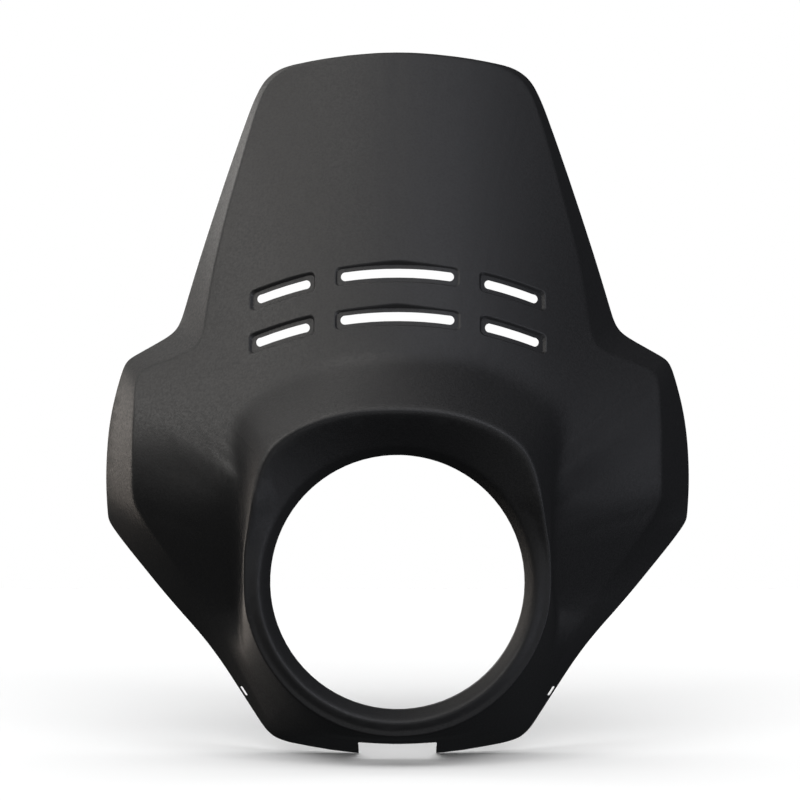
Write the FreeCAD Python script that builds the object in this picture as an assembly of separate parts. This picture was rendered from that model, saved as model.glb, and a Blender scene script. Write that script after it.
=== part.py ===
import FreeCAD, Part
import math
import os
from FreeCAD import Vector

# One-piece moulded headlight fairing for a motorcycle: a screen with air vents, two side wings
# and a hood that carries the lamp opening, all drawn as one wall of constant thickness.
# X runs to the right, Y back towards the rider, Z up. The origin is on the axis of the lamp
# opening, at the middle of its straight land. Sizes are in millimetres.

# Wall and lamp opening
wall = 3.0                 # moulded wall thickness
lampRadius = 82.0          # clear radius for the trim ring of a 5 3/4 inch lamp
landLength = 8.0           # straight land that the trim ring sits in
lipWidth = 5.2             # radial width of the flared lip in front of the land
lipRise = 8.5              # how far the flared lip comes forward
crestWidth = 2.5           # from the lip edge out to the crest of the bezel
crestRise = 1.8            # how far the crest stands in front of the lip edge

# Hood and brow over the lamp
browHeight = 111.0         # top of the brow above the lamp axis
browHalfWidth = 99.3       # half width of the brow at lamp height
browReach = 34.0           # how far the brow stands in front of the origin
ridgeRadius = 98.5         # ridge round the lower half of the bezel
ridgeDepth = 12.0          # how far that ridge stands in front of the origin
grooveDip = 1.6            # depth of the groove between crest and ridge
browHalfRound = 8.0        # half width of the rounding of the brow
creaseHalfRound = 3.5      # half width of the rounding of the ridge and the outer crease
hoodFootHeight = 144.0     # where the hood runs out on the screen
hoodFootHalfWidth = 110.0  # half width of the hood foot at the wings
hoodWaistHalfWidth = 100.5 # half width of the hood foot at lamp height
hoodHeelRadius = 112.0     # how far the hood reaches down and out under the lamp
hoodFillet = 13.0          # reach of the rounding along the hood foot

# Screen
screenHeight = 356.6       # front edge of the top above the lamp axis
screenTopHalfWidth = 94.0  # half width of the screen near its top corners
screenFootHalfWidth = 131.0  # half width of the screen where the shoulders start
screenLean = 29.0          # backward lean in degrees
screenFootDepth = 16.0     # depth of the screen's centre line at hood foot height
screenRadius = 145.0       # plan radius of the screen at the vents
screenFlattening = 0.25    # growth of that radius for each millimetre of height
shoulderHeight = 153.0     # where the side edge of the screen meets the wing

# Wings, cheeks and rear rim
wingHalfWidth = 177.5      # half width at the front edge of the wing
wingDepth = 76.0           # depth of that edge
wingMidHeight = 75.0       # height at which the wing stands upright
wingFootHeight = 47.0      # lower corner of the wing's front edge
wingSlope = 0.6            # sideways slope of the wing
wingUpperRadius = 80.0     # upright radius of the wing above its middle
wingLowerRadius = 220.0    # and below it
wingFade = 30.0            # the wing runs out under the hood by this radius
cheekSlopeOut = 0.74       # sideways slope of the cheek under the wing
cheekSlopeDown = 0.7       # downward slope of the cheek
cheekDepth = -19.0         # depth of the cheek plane at the lamp axis
wingBlend = 14.0           # softness of the fold between screen and wing
cheekBlend = 9.0           # softness of the fold between wing and cheek
rimHalfWidth = 198.5       # half width of the whole fairing
rimRise = 0.5              # how far the top of the rim stands above the screen's front edge
rimDepth = 116.0           # depth of the rear rim at the wings
chinHalfWidth = 86.0       # half width of the chin at its lower corners
chinHeight = 120.8         # bottom of the rear rim below the lamp axis
chinDepth = 82.0           # depth of the rear rim under the lamp
rimRoundness = 0.45        # how far the rear rim is rounded, as a share of the wall
minSpokeStep = 1.2         # closest and widest spacing of the section spokes in degrees
maxSpokeStep = 5.0
patchAngles = (-180, -140, -95, -50, 50, 95, 140)  # where the skin is parted into patches

# Air vents: two rows of three, each a shallow pocket with a slot through its floor. Lengths
# are across the front view, heights along the leaning screen.
ventRows = (202.7, 173.6)  # height of the rows on the centre line
ventRowRadius = 256.0      # the rows droop towards the sides by this radius
ventSideOffset = 76.9      # from the centre line to the middle of a side vent
ventCentreLength = 85.0
ventSideLength = 45.4
ventPocketHeight = 16.8
ventPocketDepth = 3.1
ventPocketDraft = 2.0      # how much narrower the pocket is at its floor, each side
ventCornerRadius = 4.0
ventEdgeRadius = 1.2       # rounding of the pocket's mouth
slotMargin = 4.5           # from the pocket's end to the slot
slotHeight = 6.0

# Chin
slitAngle = 127.3          # place of the side slits, in degrees round the lamp axis from the top
slitInset = 2.0            # from the outline to the middle of a slit
slitLength = 7.4
slitWidth = 1.8
notchHalfWidth = 26.0      # notch in the chin for the lamp's lower bracket
notchFront = 38.0          # depth at which the notch starts
notchCornerRadius = 3.0

os.makedirs("parts", exist_ok=True)

screenSlope = math.tan(math.radians(screenLean))
lipRadius = lampRadius + lipWidth
lipDepth = landLength / 2 + lipRise
crestRadius = lipRadius + crestWidth
crestDepth = lipDepth + crestRise


def softMax(a, b, blend):
    return (a + b + math.hypot(a - b, blend)) / 2


def softMin(a, b, blend):
    return (a + b - math.hypot(a - b, blend)) / 2


# Depth of the body behind the origin at a place in the front view: the screen is a leaning
# cone, the wing a barrel, and the cheek a plane that falls away under the wing.
def bodyDepth(x, z):
    radius = screenRadius + (z - ventRows[0]) * screenFlattening
    screen = screenFootDepth + (z - hoodFootHeight) * screenSlope + x * x / (2 * radius)
    barrel = (z - wingMidHeight) ** 2 / (2 * (wingUpperRadius if z > wingMidHeight else wingLowerRadius))
    fade = max(hoodWaistHalfWidth - abs(x), 0) ** 2 / (2 * wingFade)
    wing = wingDepth + wingSlope * (abs(x) - wingHalfWidth) + barrel + fade
    cheek = cheekDepth + cheekSlopeOut * abs(x) - cheekSlopeDown * z
    return softMax(softMin(screen, wing, wingBlend), cheek, cheekBlend)


# A corner of a feature line in the right half of the front view: its place, its depth and how
# far its rounding reaches along both legs. A corner without a depth lies on the body.
def corner(x, z, reach, depth=None):
    return Vector(x, bodyDepth(x, z) if depth is None else depth, z), reach


# Points of a feature line, with each corner rounded by a parabola. A leg between two corners is
# shared by their roundings, and the first and last legs belong to one corner only.
def featureLine(corners):
    points = [corners[0][0]]
    last = len(corners) - 2
    for index in range(1, last + 1):
        before, (here, reach), after = corners[index - 1][0], corners[index], corners[index + 1][0]
        share = 0.98 if index == 1 else 0.5
        start = here + (before - here).normalize() * min(reach, before.distanceToPoint(here) * share)
        share = 0.98 if index == last else 0.5
        end = here + (after - here).normalize() * min(reach, after.distanceToPoint(here) * share)
        for t in (0.0, 0.25, 0.5, 0.75, 1.0):
            points.append(start * (1 - t) ** 2 + here * (2 * t * (1 - t)) + end * t ** 2)
    return points + [corners[-1][0]]


def angleOf(point):
    return math.degrees(math.atan2(point.x, point.z))


# Where a feature line crosses a spoke: distance from the lamp axis, and depth.
def crossing(line, angle):
    spokeX, spokeZ = math.sin(math.radians(angle)), math.cos(math.radians(angle))
    for a, b in zip(line, line[1:]):
        aside, bside = (p.x * spokeZ - p.z * spokeX for p in (a, b))
        if aside <= 0 <= bside and aside < bside:
            place = a + (b - a) * (aside / (aside - bside))
            return math.hypot(place.x, place.z), place.y
    end = line[0] if angle < 90 else line[-1]
    return math.hypot(end.x, end.z), end.y


# Corners that keep a feature line on a circle round the lamp axis, 30 degrees apart.
def circleCorners(radius, angles, depth):
    reach = radius / math.cos(math.radians(15))
    return [corner(reach * math.sin(math.radians(angle)), reach * math.cos(math.radians(angle)),
                   reach, depth) for angle in angles]


# The brow over the lamp, which runs on as the ridge round the lower half of the bezel.
ridgeLine = featureLine([
    corner(0, browHeight, 0, -browReach),
    corner(browHalfWidth * 0.23, browHeight, 60, -browReach),
    corner(browHalfWidth * 0.51, browHeight * 0.945, 60, -browReach + 1),
    corner(browHalfWidth * 0.715, browHeight * 0.86, 60, -browReach + 3),
    corner(browHalfWidth * 0.855, browHeight * 0.742, 60, -browReach + 5),
    corner(browHalfWidth * 0.92, browHeight * 0.54, 60, -browReach + 9),
    corner(browHalfWidth * 0.965, browHeight * 0.32, 60, -browReach + 14),
    corner(browHalfWidth, browHeight * 0.17, 60, -ridgeDepth - 3)]
    + circleCorners(ridgeRadius, (105, 135, 165), -ridgeDepth)
    + [corner(0, -ridgeRadius, 0, -ridgeDepth)])

# Where the hood runs out on the screen, the wings and the cheeks. Under the lamp its heel
# stands clear of the cheeks.
footLine = featureLine([
    corner(0, hoodFootHeight, 0),
    corner(hoodFootHalfWidth * 0.36, hoodFootHeight, 40),
    corner(hoodFootHalfWidth * 0.68, hoodFootHeight * 0.89, 20),
    corner(hoodFootHalfWidth, hoodFootHeight * 0.74, 30),
    corner(hoodWaistHalfWidth, hoodFootHeight * 0.42, 30),
    corner(hoodWaistHalfWidth, 5, 20),
    corner(hoodWaistHalfWidth + 6, -30, 20),
    corner(hoodHeelRadius * 0.91, -hoodHeelRadius * 0.48, 20, 66),
    corner(hoodHeelRadius * 0.71, -hoodHeelRadius * 0.71, 20, 36),
    corner(hoodHeelRadius * 0.49, -hoodHeelRadius * 0.865, 24, 17),
    corner(ridgeRadius * 0.26, -ridgeRadius - 3, 24, 3),
    corner(0, -ridgeRadius - 3, 0, 1)])

# The front edge of the return that runs round the whole outline.
creaseLine = featureLine([
    corner(0, screenHeight, 0),
    corner(30, screenHeight - 0.5, 30),
    corner(screenTopHalfWidth - 5.2, screenHeight - 10, 26),
    corner(screenTopHalfWidth + 7.3, screenHeight - 53.6, 30),
    corner(screenFootHalfWidth - 6, shoulderHeight + 57, 40),
    corner(screenFootHalfWidth, shoulderHeight, 10),
    corner(wingHalfWidth - 1, shoulderHeight - 17, 9),
    corner(wingHalfWidth, wingFootHeight, 9),
    corner(chinHalfWidth + 41, -26, 30),
    corner(chinHalfWidth, 22 - chinHeight, 8, chinDepth + 2),
    corner(chinHalfWidth * 0.7, 17.5 - chinHeight, 26, chinDepth / 2),
    corner(chinHalfWidth * 0.3, 16 - chinHeight, 24, 26),
    corner(0, 16 - chinHeight, 0, 25)])

# The rear rim, which is the outline seen from the front.
rimLine = featureLine([
    corner(0, screenHeight + rimRise, 0, rimDepth + 28),
    corner(30, screenHeight + rimRise - 0.7, 30, rimDepth + 29),
    corner(screenTopHalfWidth - 2, screenHeight + rimRise - 9.6, 22, rimDepth + 44),
    corner(screenTopHalfWidth + 18, screenHeight + rimRise - 66.6, 40, rimDepth + 32),
    corner(screenFootHalfWidth + 4, shoulderHeight + 64, 40, rimDepth + 15),
    corner(screenFootHalfWidth + 18.7, shoulderHeight + 11.2, 8, rimDepth + 4),
    corner(rimHalfWidth - 12.5, shoulderHeight - 9.3, 5, rimDepth + 2),
    corner(rimHalfWidth - 2.2, shoulderHeight - 47, 30, rimDepth),
    corner(rimHalfWidth + 0.6, wingFootHeight + 18, 26, rimDepth),
    corner(rimHalfWidth - 1.6, wingFootHeight - 13.6, 5, rimDepth),
    corner(chinHalfWidth + 68, -18.4, 20, rimDepth - 8),
    corner(chinHalfWidth + 40, -49, 24, rimDepth - 10),
    corner(chinHalfWidth - 1.1, 9.3 - chinHeight, 12, rimDepth - 19),
    corner(30, 0.4 - chinHeight, 30, chinDepth + 2),
    corner(0, -chinHeight, 0, chinDepth)])


# One spoke of the outer skin as (distance from the lamp axis, depth), from the lamp's land
# over lip, crest, brow, hood, panel and edge crease to the rear rim.
def spoke(angle):
    ridge, foot, crease, rim = [Vector(*crossing(line, angle), 0)
                                for line in (ridgeLine, footLine, creaseLine, rimLine)]
    sine, cosine = math.sin(math.radians(angle)), math.cos(math.radians(angle))

    def towards(start, end, reach):
        return start + (end - start).normalize() * min(reach, start.distanceToPoint(end) / 3)

    lip = Vector(lipRadius, -lipDepth, 0)
    crest = Vector(crestRadius, -crestDepth, 0)
    coneSlope = lipRise / lipWidth
    dip = grooveDip * min(max((angle - 80) / 30, 0), 1)
    inner = [Vector(lampRadius - 3, 3 * coneSlope - landLength / 2, 0),
             Vector(lampRadius, -landLength / 2, 0),
             towards(lip, Vector(lampRadius, -landLength / 2, 0), 2.0),
             lip + (crest - lip) * 0.3,
             crest]
    share = min(max((angle - 70) / 30, 0), 1)
    ridgeHalfRound = browHalfRound + (creaseHalfRound - browHalfRound) * share
    groove = towards(ridge, crest, ridgeHalfRound)
    dish = [crest + (groove - crest) * t + Vector(0, dip * t, 0) for t in (1 / 3, 2 / 3)]
    brow = [groove + Vector(0, dip, 0), ridge, towards(ridge, foot, ridgeHalfRound)]
    flankEnd = towards(foot, ridge, hoodFillet)
    flank = [brow[-1] + (flankEnd - brow[-1]) * t for t in (1 / 3, 2 / 3, 1)]

    panelStart = foot + (crease - foot).normalize() * min(hoodFillet, foot.distanceToPoint(crease) / 4)
    panelEnd = towards(crease, foot, creaseHalfRound)
    panel = []
    for t in (0.0, 0.07, 0.2, 0.4, 0.6, 0.8, 0.93, 1.0):
        chord = panelStart + (panelEnd - panelStart) * t
        bulge = bodyDepth(chord.x * sine, chord.x * cosine)
        footMiss = panelStart.y - bodyDepth(panelStart.x * sine, panelStart.x * cosine)
        creaseMiss = panelEnd.y - bodyDepth(panelEnd.x * sine, panelEnd.x * cosine)
        panel.append(Vector(chord.x, bulge + (1 - t) * footMiss + t * creaseMiss, 0))

    edgeStart = towards(crease, rim, creaseHalfRound)
    edge = [crease, edgeStart, (edgeStart + rim) / 2, rim]
    return inner + dish + brow + flank + [foot] + panel + edge


# Spokes stand where the outline turns, with even ones between them.
def spokeAngles():
    turns = sorted(angleOf(point) for line in (creaseLine, rimLine) for point in line)
    kept = [0.0]
    for place in turns:
        if minSpokeStep < place - kept[-1] and place < 180 - minSpokeStep:
            kept.append(place)
    kept.append(180.0)
    angles = []
    for start, end in zip(kept, kept[1:]):
        steps = math.ceil((end - start) / maxSpokeStep)
        angles += [start + (end - start) * step / steps for step in range(steps)]
    return angles + [180.0]


# A point of the skin from its distance and depth on a spoke. Spokes to the left are negative.
def onSpoke(place, angle):
    turn = math.radians(angle)
    return Vector(place.x * math.sin(turn), place.y, place.x * math.cos(turn))


# The spokes all the way round from the chin, and the ones at which the skin is parted.
halfTurn = spokeAngles()
fullTurn = [-angle for angle in reversed(halfTurn)] + halfTurn[1:-1]
patchEnds = [min(range(len(fullTurn)), key=lambda i: abs(fullTurn[i] - end)) for end in patchAngles]
patchEnds.append(len(fullTurn))


# The control net of the outer skin: one column for each spoke.
def outerNet():
    return [[onSpoke(place, angle) for place in spoke(abs(angle))] for angle in fullTurn]


# The same net moved back by the wall, square to the skin.
def innerNet(net):
    moved = []
    count = len(net)
    for i, column in enumerate(net):
        last = len(column) - 1
        places = []
        for j, point in enumerate(column):
            around = net[(i + 1) % count][j] - net[i - 1][j]
            outward = column[min(j + 1, last)] - column[max(j - 1, 0)]
            places.append(point + outward.cross(around).normalize() * wall)
        moved.append(places)
    return moved


# A closed band of surface from a control net, cubic round the lamp axis, in patches.
def band(net, degree):
    rows = len(net[0])
    columns = len(net)
    poles = [[column[j] for column in net] for j in range(rows)]
    spans = rows - degree
    surface = Part.BSplineSurface()
    surface.buildFromPolesMultsKnots(
        poles, [degree + 1] + [1] * (spans - 1) + [degree + 1], [1] * (columns + 1),
        list(range(spans + 1)), list(range(columns + 1)), False, True, degree, 3)
    patches = []
    for start, end in zip(patchEnds, patchEnds[1:]):
        patch = surface.copy()
        patch.segment(0, spans, start, end)
        patches.append(patch.toShape())
    return patches


# The skin as a closed solid. Its rear rim is a soft nose that runs on from both sides.
def shellSkin():
    outer = outerNet()
    inner = innerNet(outer)
    hub = [[a[0], b[0]] for a, b in zip(outer, inner)]
    rim = []
    for a, b in zip(outer, inner):
        nose = (a[-1] - a[-2]).normalize() * wall * rimRoundness
        rim.append([a[-1], a[-1] + nose, b[-1] + nose, b[-1]])
    shell = Part.makeShell(band(outer, 3) + band(inner, 3) + band(hub, 1) + band(rim, 3))
    shell.sewShape()
    solid = Part.makeSolid(shell)
    if solid.Volume < 0:
        solid.reverse()
    return solid


# A straight piece of round bar along Y, on the lamp axis. Its own seam is turned to the side.
def lampBar(radius, front, back):
    bar = Part.makeCylinder(radius, back - front, Vector(0, front, 0), Vector(0, 1, 0))
    bar.rotate(Vector(0, 0, 0), Vector(0, 1, 0), 45)
    return bar


# The skin at a place in the front view: the point, and the directions across, up and out of it.
def skinFrame(x, z):
    step = 0.5
    place = Vector(x, bodyDepth(x, z), z)
    up = Vector(0, bodyDepth(x, z + step) - bodyDepth(x, z - step), 2 * step).normalize()
    across = Vector(2 * step, bodyDepth(x + step, z) - bodyDepth(x - step, z), 0)
    out = across.cross(up).normalize()
    return place, up.cross(out), up, out


def ventFrame(row, x):
    return skinFrame(x, row - x * x / (2 * ventRowRadius))


# A drafted bar that follows the skin along a vent, from one depth under it to another, with its
# four upright corners rounded. Its size is the vent's at the skin.
def ventBar(vent, margin, front, back):
    row, x, length = vent
    length += 2 * margin
    halfHeight = ventPocketHeight / 2 + margin
    wires = []
    uprights = []
    for step in range(-3, 4):
        t = step / 3
        place, across, up, out = ventFrame(row, x + t * length / 2)
        points = []
        for depth, side in ((front, 1), (back, 1), (back, -1), (front, -1)):
            trim = ventPocketDraft * depth / ventPocketDepth
            points.append(place + up * side * (halfHeight - trim) - across * t * trim - out * depth)
        if abs(step) == 3:
            uprights += [(points[0] + points[1]) / 2, (points[2] + points[3]) / 2]
        wires.append(Part.makePolygon(points + points[:1]))
    bar = Part.makeLoft(wires, True, False)
    corners = [edge for edge in bar.Edges
               if min(edge.CenterOfMass.distanceToPoint(upright) for upright in uprights) < 0.1]
    return bar.makeFillet(ventCornerRadius + margin / 3, corners)


# A slot through the floor of a vent, cut straight back with round ends.
def slotBar(vent):
    row, x, length = vent
    half = length / 2 - slotMargin - slotHeight / 2

    def floorPoint(t):
        place, across, up, out = ventFrame(row, x + t * half)
        floor = place - out * ventPocketDepth
        return Vector(floor.x, 0, floor.z)

    rise = Vector(0, 0, slotHeight / 2)
    end = Vector(slotHeight / 2, 0, 0)
    left, middle, right = [floorPoint(t) for t in (-1, 0, 1)]
    outline = [Part.Arc(left + rise, middle + rise, right + rise),
               Part.Arc(right + rise, right + end, right - rise),
               Part.Arc(right - rise, middle - rise, left - rise),
               Part.Arc(left - rise, left - end, left + rise)]
    wire = Part.Wire([arc.toShape() for arc in outline])
    return Part.Face(wire).extrude(Vector(0, rimDepth, 0))


# A narrow slit cut straight back through the return at the side of the chin.
def slitBar(side):
    before, middle, after = [onSpoke(Vector(*crossing(rimLine, angle), 0), side * angle)
                             for angle in (slitAngle - 1, slitAngle, slitAngle + 1)]
    along = Vector(after.x - before.x, 0, after.z - before.z).normalize()
    inward = Vector(-middle.x, 0, -middle.z)
    inward = (inward - along * inward.dot(along)).normalize()
    centre = Vector(middle.x, 0, middle.z) + inward * slitInset
    end = along * (slitLength - slitWidth) / 2
    half = inward * slitWidth / 2
    tip = along * slitLength / 2
    outline = [Part.makeLine(centre - end + half, centre + end + half),
               Part.Arc(centre + end + half, centre + tip, centre + end - half).toShape(),
               Part.makeLine(centre + end - half, centre - end - half),
               Part.Arc(centre - end - half, centre - tip, centre - end + half).toShape()]
    return Part.Face(Part.Wire(outline)).extrude(Vector(0, 2 * rimDepth, 0))


# The notch in the chin, open at the back, with rounded front corners.
def notchBlock():
    block = Part.makeBox(2 * notchHalfWidth, 2 * rimDepth, 30,
                         Vector(-notchHalfWidth, notchFront, -chinHeight - 10))
    corners = [edge for edge in block.Edges
               if edge.Length < 31 and abs(edge.CenterOfMass.y - notchFront) < 0.1]
    return block.makeFillet(notchCornerRadius, corners)


vents = []
for row in ventRows:
    vents.append((row, 0.0, ventCentreLength))
    vents.append((row, ventSideOffset, ventSideLength))
    vents.append((row, -ventSideOffset, ventSideLength))

# The skin, with a straight land for the trim ring.
fairing = shellSkin()
collar = lampBar(lampRadius + wall, -landLength / 2, landLength / 2)
fairing = fairing.fuse(collar).cut(lampBar(lampRadius, -2 * crestDepth, 2 * crestDepth))

# The vent pockets: a tub behind each, then the pocket with a rounded mouth.
tubs = [ventBar(vent, wall, wall / 2, ventPocketDepth + wall) for vent in vents]
pockets = [ventBar(vent, 0, -2 * wall, ventPocketDepth) for vent in vents]
fairing = fairing.fuse(tubs).cut(pockets)
skin = max(fairing.Faces, key=lambda face: face.Area)
mouths = [edge for wire in skin.Wires if wire.BoundBox.ZMin > hoodFootHeight for edge in wire.Edges]
fairing = fairing.makeFillet(ventEdgeRadius, mouths)

# The openings that go straight through.
fairing = fairing.cut([slotBar(vent) for vent in vents] + [slitBar(1), slitBar(-1), notchBlock()])

fairing.exportStep("parts/fairing_shell.step")
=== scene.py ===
import bmesh
import bpy
import math
import numpy as np
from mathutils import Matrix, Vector


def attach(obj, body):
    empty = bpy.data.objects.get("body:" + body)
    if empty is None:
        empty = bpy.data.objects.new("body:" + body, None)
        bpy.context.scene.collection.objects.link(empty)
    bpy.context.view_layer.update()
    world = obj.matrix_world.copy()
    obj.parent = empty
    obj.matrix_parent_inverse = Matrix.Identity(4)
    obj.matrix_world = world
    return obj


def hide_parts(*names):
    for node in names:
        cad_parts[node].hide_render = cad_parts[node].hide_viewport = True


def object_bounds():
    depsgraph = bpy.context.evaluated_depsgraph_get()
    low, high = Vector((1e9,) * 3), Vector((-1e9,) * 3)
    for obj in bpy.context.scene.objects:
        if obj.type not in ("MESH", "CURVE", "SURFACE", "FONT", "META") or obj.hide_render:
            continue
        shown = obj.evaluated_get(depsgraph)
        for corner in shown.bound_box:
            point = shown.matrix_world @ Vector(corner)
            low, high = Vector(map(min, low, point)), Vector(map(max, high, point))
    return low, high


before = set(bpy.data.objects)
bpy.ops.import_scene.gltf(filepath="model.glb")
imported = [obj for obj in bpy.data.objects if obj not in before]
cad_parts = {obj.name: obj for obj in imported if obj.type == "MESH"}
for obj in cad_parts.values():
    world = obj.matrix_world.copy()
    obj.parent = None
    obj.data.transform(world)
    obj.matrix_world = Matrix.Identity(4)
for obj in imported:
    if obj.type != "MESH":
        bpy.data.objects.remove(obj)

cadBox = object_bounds()
print("frame loaded, CAD box", [list(corner) for corner in cadBox])


# sRGB hex to linear: below 0.04045 the value over 12.92, above it ((value + 0.055) / 1.055) to the 2.4
def hexToLinear(code):
    shade = np.array([int(code[i:i + 2], 16) for i in (0, 2, 4)]) / 255.0
    linear = np.where(shade <= 0.04045, shade / 12.92, ((shade + 0.055) / 1.055) ** 2.4)
    return (*linear.tolist(), 1.0)


# one node: its settings, then its links, each either a socket of another node or a plain value
def addNode(tree, kind, settings=None, **inputs):
    node = tree.nodes.new(kind)
    for name, value in (settings or {}).items():
        setattr(node, name, value)
    for name, value in inputs.items():
        socket = node.inputs[name.replace("_", " ")]
        if isinstance(value, bpy.types.NodeSocket):
            tree.links.new(value, socket)
        else:
            socket.default_value = value
    return node


shellFinish = {
    "colour": "1a1a1b",         # carbon-black pigment, through and through
    "topRoughness": 0.47,       # the eroded tool leaves the skin matt, a little less so on the tops
    "hollowRoughness": 0.6,
    "ior": 1.52,                # ABS
    "grainWidth": 0.8,          # mm between tops; the real grain is about 0.3, too fine for the picture
    "grainHeight": 0.05,        # mm
    "grainLow": 0.3,            # where the hollows end and the tops begin, as shares of that height
    "grainHigh": 0.7,
}


# Moulded ABS, matt black: the grain breaks highlights into broad soft bands with no mirror image.
# The relief is noise with two tops to each of its units, and roughness falls from hollow to top.
def mouldedAbs(finish):
    material = bpy.data.materials.new("matt black moulded ABS")
    material.use_nodes = True
    tree = material.node_tree
    tree.nodes.clear()
    place = addNode(tree, "ShaderNodeTexCoord")
    grain = addNode(tree, "ShaderNodeTexNoise", {"noise_dimensions": "3D"},
                    Vector=place.outputs["Object"], Scale=1000.0 / finish["grainWidth"] / 2,
                    Detail=1.0, Roughness=0.5)
    relief = addNode(tree, "ShaderNodeBump", None, Height=grain.outputs["Fac"],
                     Strength=1.0, Distance=finish["grainHeight"] / 1000.0)
    polish = addNode(tree, "ShaderNodeMapRange", None, Value=grain.outputs["Fac"],
                     From_Min=finish["grainLow"], From_Max=finish["grainHigh"],
                     To_Min=finish["hollowRoughness"], To_Max=finish["topRoughness"])
    surface = addNode(tree, "ShaderNodeBsdfPrincipled", None, Base_Color=hexToLinear(finish["colour"]),
                      Roughness=polish.outputs["Result"], IOR=finish["ior"],
                      Normal=relief.outputs["Normal"])
    addNode(tree, "ShaderNodeOutputMaterial", None, Surface=surface.outputs["BSDF"])
    return material


# The moulding's body in mm: what its skin follows between the hood and the front edge of the return.
body = {
    "screenDepth": 16,          # depth of the screen at its foot
    "screenFoot": 144,
    "screenLean": math.radians(29),
    "screenRadius": 145,        # bend across the screen at the vents
    "screenFlattening": 0.25,   # growth of that radius with height
    "ventHeight": 202.7,
    "wingDepth": 76,            # depth of the wing's front edge at its middle
    "wingHalfWidth": 177.5,
    "wingSlope": 0.6,           # way back per mm outwards
    "wingMiddle": 75,
    "wingUpperRadius": 80,      # its upright bend above and below the middle
    "wingLowerRadius": 220,
    "waist": 100.5,             # half width inside which the wing runs out under the hood
    "wingFade": 30,             # radius with which it does
    "wingBlend": 14,            # softness of the fold between screen and wing
    "cheekDepth": -19,          # depth of the cheek's plane on the lamp axis
    "cheekOut": 0.74,           # way back per mm outwards and per mm down
    "cheekDown": 0.7,
    "cheekBlend": 9,            # softness of the fold between wing and cheek
    "centreRound": 3.5,         # the fold along the centre line is rounded by this much
    "hoodReach": 33,            # the hood's flank is this long, but ends no nearer than hoodInside
    "hoodInside": 96,
    "leastEdge": 1,             # least length of the return's edge in the front view
    "roundingPoints": 5,        # points in each rounding of a line
    "lineSteps": 24,            # places worked out for each point of a line
    "legShare": 0.5,            # most that a rounding takes of a leg
    "endShare": 0.98,           # and of the line's first leg and its last
    "joinReach": 0.0001,        # points of neighbouring faces closer than this are one
    "slopeStep": 0.5,           # step over which the set-back's slopes are taken
    # corners of the hood's foot, of the return's front edge and of the rim: x, z, reach of the rounding
    "foot": [(0, 144, 0), (39.6, 144, 40), (74.8, 128.2, 20), (110, 106.6, 30), (100.5, 60.5, 30),
             (100.5, 5, 20), (106.5, -30, 20), (101.9, -53.8, 20), (79.5, -79.5, 20), (54.9, -96.9, 24),
             (25.6, -101.5, 24), (0, -101.5, 0)],
    "crease": [(0, 356.6, 0), (30, 356.1, 30), (88.8, 346.6, 26), (101.3, 303, 30), (125, 210, 40),
               (131, 153, 10), (176.5, 136, 9), (177.5, 47, 9), (127, -26, 30), (86, -98.8, 8),
               (60.2, -103.3, 26), (25.8, -104.8, 24), (0, -104.8, 0)],
    "rim": [(0, 357.1, 0), (30, 356.4, 30), (92, 347.5, 22), (112, 290.5, 40), (135, 217, 40),
            (149.7, 164.2, 8), (186, 143.7, 5), (196.3, 106, 30), (199.1, 65, 26), (196.9, 33.4, 5),
            (154, -18.4, 20), (126, -49, 24), (84.9, -111.5, 12), (30, -120.4, 30), (0, -120.8, 0)],
}


# The screen's depth is that of its foot + rise times lean + x squared over twice the bend's radius. The
# wing's is that of its middle + slope times the way out + rise squared over twice the upright radius,
# and inside the waist + the shortfall squared over twice the fade. The cheek is a plane. The nearer of
# screen and wing is taken, half of (a + b - root((a - b)^2 + blend^2)), and then the further of that
# and the cheek, the same with + before the root.
def bodyDepth(x, z):
    radius = body["screenRadius"] + (z - body["ventHeight"]) * body["screenFlattening"]
    screen = (body["screenDepth"] + (z - body["screenFoot"]) * math.tan(body["screenLean"])
              + x * x / (2 * radius))
    bend = np.where(z > body["wingMiddle"], body["wingUpperRadius"], body["wingLowerRadius"])
    wing = (body["wingDepth"] + body["wingSlope"] * (abs(x) - body["wingHalfWidth"])
            + (z - body["wingMiddle"]) ** 2 / (2 * bend)
            + np.maximum(body["waist"] - abs(x), 0) ** 2 / (2 * body["wingFade"]))
    cheek = body["cheekDepth"] + body["cheekOut"] * abs(x) - body["cheekDown"] * z
    front = (screen + wing - np.hypot(screen - wing, body["wingBlend"])) / 2
    return (front + cheek + np.hypot(front - cheek, body["cheekBlend"])) / 2


# A line of straight legs with its corners rounded by parabolas, start (1 - t)^2 + corner 2 t (1 - t)
# + end t^2, as angle and distance round the lamp axis and as the depth by which it misses the body.
def legLine(corners):
    legShare, endShare = body["legShare"], body["endShare"]
    flat = np.array(corners, float)
    place = np.column_stack([flat[:, 0], bodyDepth(flat[:, 0], flat[:, 1]), flat[:, 1]])
    points = [place[0]]
    last = len(place) - 2
    for i in range(1, last + 1):
        back, ahead = place[i - 1] - place[i], place[i + 1] - place[i]
        longBack, longAhead = np.linalg.norm(back), np.linalg.norm(ahead)
        backShare = endShare if i == 1 else legShare
        start = place[i] + back / longBack * min(flat[i, 2], longBack * backShare)
        aheadShare = endShare if i == last else legShare
        end = place[i] + ahead / longAhead * min(flat[i, 2], longAhead * aheadShare)
        t = np.linspace(0, 1, body["roundingPoints"])[:, None]
        points.extend(start * (1 - t) ** 2 + place[i] * 2 * t * (1 - t) + end * t * t)
    points = np.array(points + [place[-1]])
    t = np.linspace(0, len(points) - 1, body["lineSteps"] * len(points))
    x, depth, z = (np.interp(t, np.arange(len(points)), points[:, k]) for k in range(3))
    return np.arctan2(x, z), np.hypot(x, z), depth - bodyDepth(x, z)


footLine, creaseLine, rimLine = (legLine(body[name]) for name in ("foot", "crease", "rim"))


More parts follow.
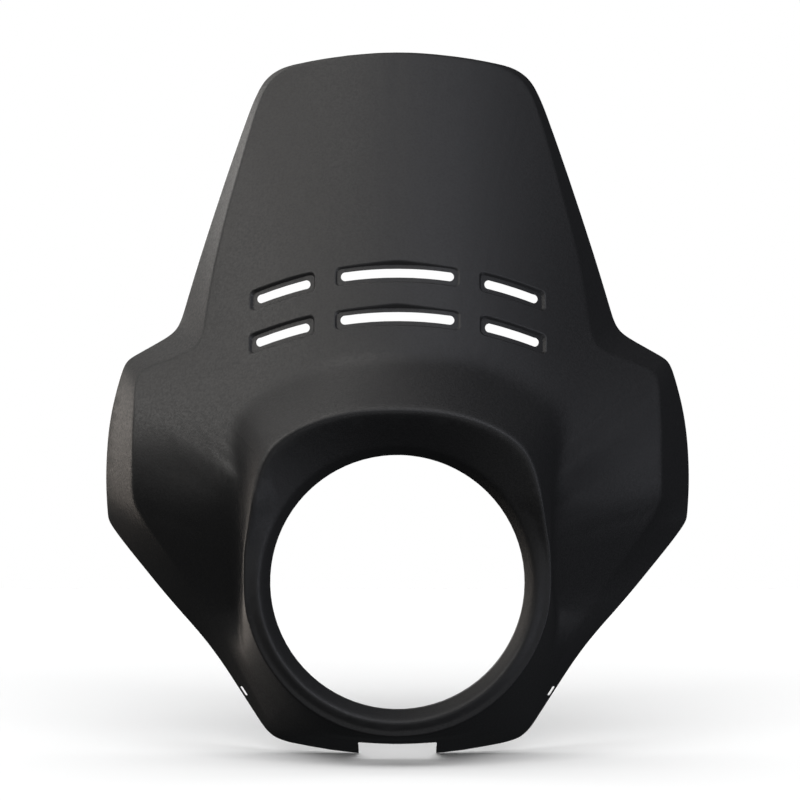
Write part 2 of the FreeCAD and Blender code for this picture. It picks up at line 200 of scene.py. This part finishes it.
# How far the solid's skin lies behind the body: nothing at the hood's ridge, the foot line's miss at the
# foot, the crease line's at the crease and nothing at the rim, even between them along each spoke.
def setBack(x, z):
    angle, reach = np.arctan2(np.hypot(x, body["centreRound"]), z), np.hypot(x, z)
    footReach, footMiss = (np.interp(angle, footLine[0], footLine[k]) for k in (1, 2))
    creaseReach, creaseMiss = (np.interp(angle, creaseLine[0], creaseLine[k]) for k in (1, 2))
    rimReach = np.interp(angle, rimLine[0], rimLine[1])
    hood = np.minimum(footReach - body["hoodInside"], body["hoodReach"])
    edge = np.maximum(rimReach - creaseReach, body["leastEdge"])
    onHood = footMiss * np.clip(1 - (footReach - reach) / hood, 0, 1)
    t = np.clip((reach - footReach) / (creaseReach - footReach), 0, 1)
    onPanel = footMiss * (1 - t) + creaseMiss * t
    onEdge = creaseMiss * np.clip((rimReach - reach) / edge, 0, 1)
    return np.where(reach < footReach, onHood, np.where(reach < creaseReach, onPanel, onEdge))


# The mesh with the points that its faces share made one. Returns the normals at the corners of the
# faces that stay, as they were before.
def joinFaces(mesh):
    normals = np.empty(len(mesh.loops) * 3)
    mesh.corner_normals.foreach_get("vector", normals)
    source = mesh.attributes.new("source", "INT", "FACE")
    source.data.foreach_set("value", np.arange(len(mesh.polygons), dtype=np.int32))
    joined = bmesh.new()
    joined.from_mesh(mesh)
    bmesh.ops.remove_doubles(joined, verts=joined.verts, dist=body["joinReach"] / 1000)
    joined.to_mesh(mesh)
    joined.free()
    kept = np.empty(len(mesh.polygons), dtype=np.int32)
    mesh.attributes["source"].data.foreach_get("value", kept)
    mesh.attributes.remove(mesh.attributes["source"])
    return normals.reshape(-1, 3, 3)[kept].reshape(-1, 3)


# A copy of the solid with every point moved forward by the set-back, so that screen and wings run
# true to the body. Its normals turn with it: n + (slope across, 0, slope up) times n's depth part.
def fairedShell(solid):
    piece = solid.copy()
    piece.data = solid.data.copy()
    piece.name = "faired_shell"
    mesh = piece.data
    normals = joinFaces(mesh)
    points = np.empty(len(mesh.vertices) * 3)
    mesh.vertices.foreach_get("co", points)
    points = points.reshape(-1, 3)
    corner = np.empty(len(mesh.loops), int)
    mesh.loops.foreach_get("vertex_index", corner)
    x, z = points[:, 0] * 1000, points[:, 2] * 1000
    step = body["slopeStep"]
    across = (setBack(x + step, z) - setBack(x - step, z)) / (2 * step)
    up = (setBack(x, z + step) - setBack(x, z - step)) / (2 * step)
    points[:, 1] -= setBack(x, z) / 1000
    normals[:, 0] += across[corner] * normals[:, 1]
    normals[:, 2] += up[corner] * normals[:, 1]
    normals /= np.linalg.norm(normals, axis=1)[:, None]
    mesh.vertices.foreach_set("co", points.ravel())
    mesh.update()
    mesh.normals_split_custom_set(normals.tolist())
    bpy.context.scene.collection.objects.link(piece)
    return piece


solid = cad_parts["fairing_shell"]
shell = fairedShell(solid)
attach(shell, "root")
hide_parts("fairing_shell")
shell.data.materials.clear()
shell.data.materials.append(mouldedAbs(shellFinish))
print("shell faired and finished")

studio = {
    "floorColour": "e6e6e6",
    "floorHalf": 1.9,           # m from the middle of the floor to its edge
    "floorGap": 0.0002,         # m under the object
    # world light on everything but the camera's own rays
    "dimColour": (0.9, 0.95, 1.0, 1),
    "dimStrength": 0.034,
    # soft boxes round the object: azimuth from the front, elevation, power in W. The left is strong and
    # slightly warm, with light from behind it on the turned-back edge; the right is weaker and bluish.
    "ring": [(-100, -20, 0.3), (0, -28, 2.6), (60, -20, 4.6),
             (-150, 10, 9.5), (-110, 10, 0.75), (-80, 24, 6.6), (-55, 22, 2.6), (20, 10, 1.2), (50, 10, 4.3),
             (-150, 38, 2.2), (-100, 38, 4.0), (-60, 38, 6.2), (0, 38, 3.0), (30, 38, 7.3), (70, 38, 0.6),
             (-120, 68, 4.8), (-50, 68, 6.6), (30, 68, 3.2)],
    "ringReach": 2.0,           # m from the middle of the object
    "boxSize": 0.8,             # m along each side
    "middle": (0, 0.05, 0.12),
    "leftEnd": -20,             # boxes left of this azimuth are tinted warm, those right of the next cool
    "rightEnd": 10,
    "warm": "fffcf8",
    "plain": "ffffff",
    "cool": "f3f5ff",
    # a small strip close behind the left wing, which lights its turned-back edge
    "strip": {"place": (-0.4, 0.42, 0.045), "target": (-0.19, 0.1, 0.05), "width": 0.2, "height": 0.32,
              "power": 0.62, "colour": "fff2e6"},
    # soft light on the floor alone: name, direction of travel, degrees across, strength
    "floorLights": [("floor sky", (0.1, 0.35, -1), 150, 2.6), ("floor front", (0.03, 1, -0.3), 80, 5.15)],
}


# White paper: fully matt, it only catches the object's soft shadow. A flat square at a given height,
# its corners floorHalf from the middle each way.
def makeFloor(height):
    half = studio["floorHalf"]
    mesh = bpy.data.meshes.new("floor")
    corners = np.array([[-1, -1, 0], [1, -1, 0], [1, 1, 0], [-1, 1, 0]], float) * half + [0, 0, height]
    mesh.from_pydata(corners.tolist(), [], [(0, 1, 2, 3)])
    floor = bpy.data.objects.new("floor", mesh)
    bpy.context.scene.collection.objects.link(floor)
    material = bpy.data.materials.new("white paper floor")
    material.use_nodes = True
    tree = material.node_tree
    tree.nodes.clear()
    surface = addNode(tree, "ShaderNodeBsdfDiffuse", None, Color=hexToLinear(studio["floorColour"]))
    addNode(tree, "ShaderNodeOutputMaterial", None, Surface=surface.outputs["BSDF"])
    mesh.materials.append(material)
    floor.visible_diffuse = False
    floor.visible_glossy = False
    floor.visible_shadow = False
    return floor


floor = makeFloor(cadBox[0][2] - studio["floorGap"])


# white to the camera, dim to everything else
def makeSky():
    world = bpy.data.worlds.new("white studio")
    world.use_nodes = True
    tree = world.node_tree
    tree.nodes.clear()
    ray = addNode(tree, "ShaderNodeLightPath")
    seen = addNode(tree, "ShaderNodeBackground", None, Color=(1, 1, 1, 1), Strength=1.0)
    dim = addNode(tree, "ShaderNodeBackground", None, Color=studio["dimColour"],
                  Strength=studio["dimStrength"])
    mix = addNode(tree, "ShaderNodeMixShader")
    tree.links.new(ray.outputs["Is Camera Ray"], mix.inputs[0])
    tree.links.new(dim.outputs[0], mix.inputs[1])
    tree.links.new(seen.outputs[0], mix.inputs[2])
    addNode(tree, "ShaderNodeOutputWorld", None, Surface=mix.outputs[0])
    bpy.context.scene.world = world


makeSky()


# a rectangular soft box, turned so that its face looks at a point, for the receivers alone
def softbox(receivers, name, place, target, width, height, power, colour):
    data = bpy.data.lights.new(name, "AREA")
    data.shape = "RECTANGLE"
    data.size, data.size_y = width, height
    data.energy = power
    data.color = hexToLinear(colour)[:3]
    lamp = bpy.data.objects.new(name, data)
    bpy.context.scene.collection.objects.link(lamp)
    lamp.location = place
    lamp.rotation_euler = (Vector(target) - Vector(place)).to_track_quat("-Z", "Y").to_euler()
    lamp.light_linking.receiver_collection = receivers


floorOnly = bpy.data.collections.new("floor light")
floorOnly.objects.link(floor)
shellOnly = bpy.data.collections.new("shell light")
shellOnly.objects.link(shell)
# each box stands off the middle along sine and cosine of its azimuth, lifted by its elevation
for index, (azimuth, elevation, power) in enumerate(studio["ring"]):
    turn, rise = math.radians(azimuth), math.radians(elevation)
    outward = Vector((math.sin(turn) * math.cos(rise), -math.cos(turn) * math.cos(rise), math.sin(rise)))
    side = "warm" if azimuth < studio["leftEnd"] else "cool" if azimuth > studio["rightEnd"] else "plain"
    softbox(shellOnly, "box %02d" % index, Vector(studio["middle"]) + outward * studio["ringReach"],
            studio["middle"], studio["boxSize"], studio["boxSize"], power, studio[side])
softbox(shellOnly, "left strip", **studio["strip"])


# broad lights over the floor, which show the object's shadow as a soft darkening behind and under it
def floorLight(receivers, name, direction, angle, strength):
    data = bpy.data.lights.new(name, "SUN")
    data.angle = math.radians(angle)
    data.energy = strength
    lamp = bpy.data.objects.new(name, data)
    bpy.context.scene.collection.objects.link(lamp)
    lamp.rotation_euler = Vector(direction).to_track_quat("-Z", "Y").to_euler()
    lamp.light_linking.receiver_collection = receivers


for name, direction, angle, strength in studio["floorLights"]:
    floorLight(floorOnly, name, direction, angle, strength)
print("studio lit")

view = {
    "place": (0.0017, -2.0, 0.1174),    # two metres in front of the lamp opening's plane
    "frameWidth": 0.5152,               # m seen across the frame at that plane
    "sensorWidth": 36.0,                # mm
    "farthest": 60.0,                   # m
}


# level, looking along +Y; lens = sensor width times distance over the width seen at that distance
def makeCamera():
    data = bpy.data.cameras.new("camera")
    data.sensor_fit = "HORIZONTAL"
    data.sensor_width = view["sensorWidth"]
    data.lens = view["sensorWidth"] * -view["place"][1] / view["frameWidth"]
    data.clip_end = view["farthest"]
    camera = bpy.data.objects.new("camera", data)
    bpy.context.scene.collection.objects.link(camera)
    camera.location = view["place"]
    camera.rotation_euler = (math.pi / 2, 0, 0)
    bpy.context.scene.camera = camera


makeCamera()
bpy.context.scene.view_settings.view_transform = "Standard"
bpy.context.scene.view_settings.look = "None"
print("camera set")
